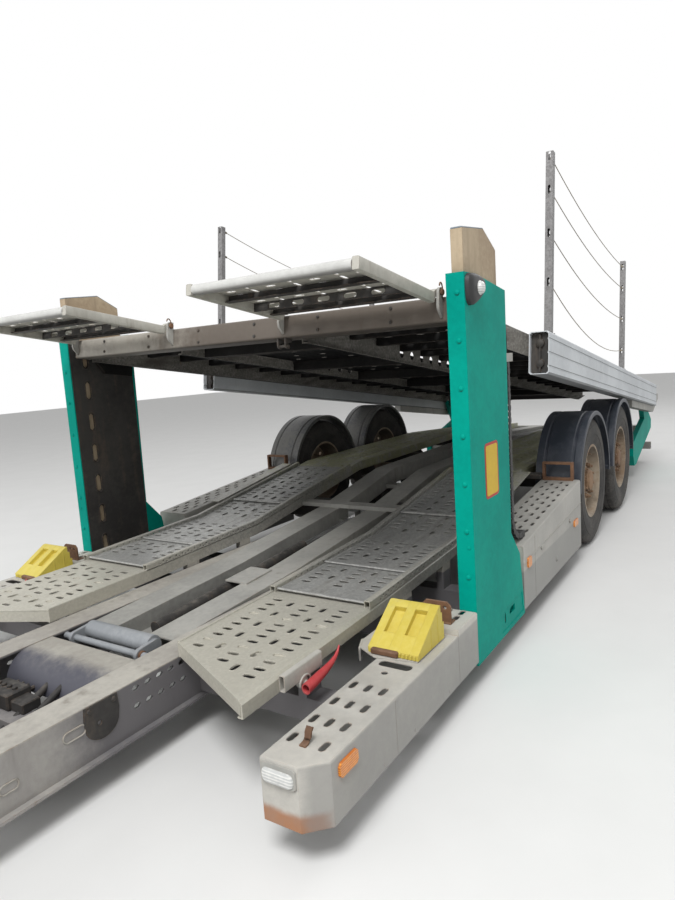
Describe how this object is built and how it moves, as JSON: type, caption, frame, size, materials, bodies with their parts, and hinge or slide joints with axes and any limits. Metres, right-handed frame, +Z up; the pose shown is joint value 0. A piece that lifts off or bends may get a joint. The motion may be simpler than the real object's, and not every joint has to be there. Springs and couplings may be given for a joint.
{
  "type": "car transporter trailer",
  "caption": "Low centre-axle car transporter trailer with a tilting upper deck over its tracks, side posts and drawbar.",
  "frame": {"origin": "on the ground at the middle of the overall length and width", "axes": "+X forward to the towing eye, +Y to the trailer's left, +Z up"},
  "size_m": [8.95, 2.566, 2.4613],
  "materials": {
    "light_paint": "weathered light grey paint, scuffed",
    "zinc_plate": "dull galvanised perforated steel",
    "green_paint": "teal green paint, semi-gloss",
    "dark_steel": "grimy dark steel",
    "white_alu": "pale anodised hollow section",
    "rust_steel": "rusted steel",
    "chrome_rod": "polished rod",
    "black_plastic": "matte black plastic",
    "tyre_rubber": "dusty tyre rubber",
    "rim_steel": "silver rim paint with rust",
    "yellow_paint": "yellow chock paint",
    "red_paint": "red lever coating",
    "amber_lens": "amber lens",
    "white_lens": "white lens",
    "red_lens": "red lens",
    "rubber_bag": "air bag rubber"
  },
  "bodies": {
    "chassis": {"main_frame": "light_paint", "spine_rails": "light_paint", "lower_tracks": "zinc_plate", "track_plates": "zinc_plate", "wheel_guides": "zinc_plate", "guard_frames": "rust_steel", "track_bearers": "dark_steel", "front_boxes": "light_paint", "rear_boxes": "light_paint", "posts": "green_paint", "guide_plates": "dark_steel", "axle_front": "dark_steel", "axle_rear": "dark_steel", "hangers": "dark_steel", "trailing_arms": "dark_steel", "air_bags": "rubber_bag", "mudguards": "black_plastic", "tail_frame": "light_paint", "tail_lamps": "red_lens", "rear_arms": "green_paint", "drawbar_nose": "light_paint", "towing_eye": "dark_steel", "jack_tube": "light_paint", "jack_leg": "dark_steel", "front_roller": "light_paint", "bowed_plate": "light_paint", "cylinder_barrel": "black_plastic", "cylinder_rod": "chrome_rod", "valve_block": "dark_steel", "wheel_chocks": "yellow_paint", "chock_lugs": "rust_steel", "marker_lamps": "white_lens", "side_lamps": "amber_lens", "track_clamps": "light_paint", "clamp_levers": "red_paint", "chain_bracket": "light_paint", "hose_chain": "black_plastic"},
    "upper_deck": {"deck_tracks": "zinc_plate", "deck_cross_members": "dark_steel", "deck_front_beam": "light_paint", "deck_carriages": "dark_steel", "side_beams": "white_alu", "deck_edge_rails": "light_paint", "pivot_brackets": "dark_steel", "stanchions": "zinc_plate", "flap_ears": "light_paint"},
    "flap_left": {"flap_left": "zinc_plate"},
    "flap_right": {"flap_right": "zinc_plate"},
    "mast_left": {"mast_left": "rust_steel"},
    "mast_right": {"mast_right": "rust_steel"},
    "wheel_front_left": {"tyre_front_left": "tyre_rubber", "rim_front_left": "rim_steel"},
    "wheel_front_right": {"tyre_front_right": "tyre_rubber", "rim_front_right": "rim_steel"},
    "wheel_rear_left": {"tyre_rear_left": "tyre_rubber", "rim_rear_left": "rim_steel"},
    "wheel_rear_right": {"tyre_rear_right": "tyre_rubber", "rim_rear_right": "rim_steel"}
  },
  "joints": [
    {"name": "wheel_front_left_spin", "type": "hinge", "parent": "chassis", "child": "wheel_front_left", "pos_m": [-0.76, 1.13, 0.445], "axis": [0, 1, 0], "continuous": true},
    {"name": "wheel_front_right_spin", "type": "hinge", "parent": "chassis", "child": "wheel_front_right", "pos_m": [-0.76, -1.13, 0.445], "axis": [0, 1, 0], "continuous": true},
    {"name": "wheel_rear_left_spin", "type": "hinge", "parent": "chassis", "child": "wheel_rear_left", "pos_m": [-1.855, 1.13, 0.445], "axis": [0, 1, 0], "continuous": true},
    {"name": "wheel_rear_right_spin", "type": "hinge", "parent": "chassis", "child": "wheel_rear_right", "pos_m": [-1.855, -1.13, 0.445], "axis": [0, 1, 0], "continuous": true},
    {"name": "deck_lift", "type": "hinge", "parent": "chassis", "child": "upper_deck", "pos_m": [-3.80116, 0, 0.77703], "axis": [0, -1, 0], "range_deg": [0, 6]},
    {"name": "mast_left_slide", "type": "slide", "parent": "chassis", "child": "mast_left", "axis": [0, 0, 1], "range_m": [0, 0.576]},
    {"name": "flap_left_fold", "type": "hinge", "parent": "upper_deck", "child": "flap_left", "pos_m": [1.54331, 0, 1.62444], "axis": [0, -1, 0], "range_deg": [-18, 160]},
    {"name": "mast_right_slide", "type": "slide", "parent": "chassis", "child": "mast_right", "axis": [0, 0, 1], "range_m": [0, 0.576]},
    {"name": "flap_right_fold", "type": "hinge", "parent": "upper_deck", "child": "flap_right", "pos_m": [1.54331, 0, 1.62444], "axis": [0, -1, 0], "range_deg": [-18, 160]}
  ],
  "couplings": [
    {"joint": "mast_left_slide", "follows": "deck_lift", "m_per_rad": 5.5},
    {"joint": "mast_right_slide", "follows": "deck_lift", "m_per_rad": 5.5}
  ]
}
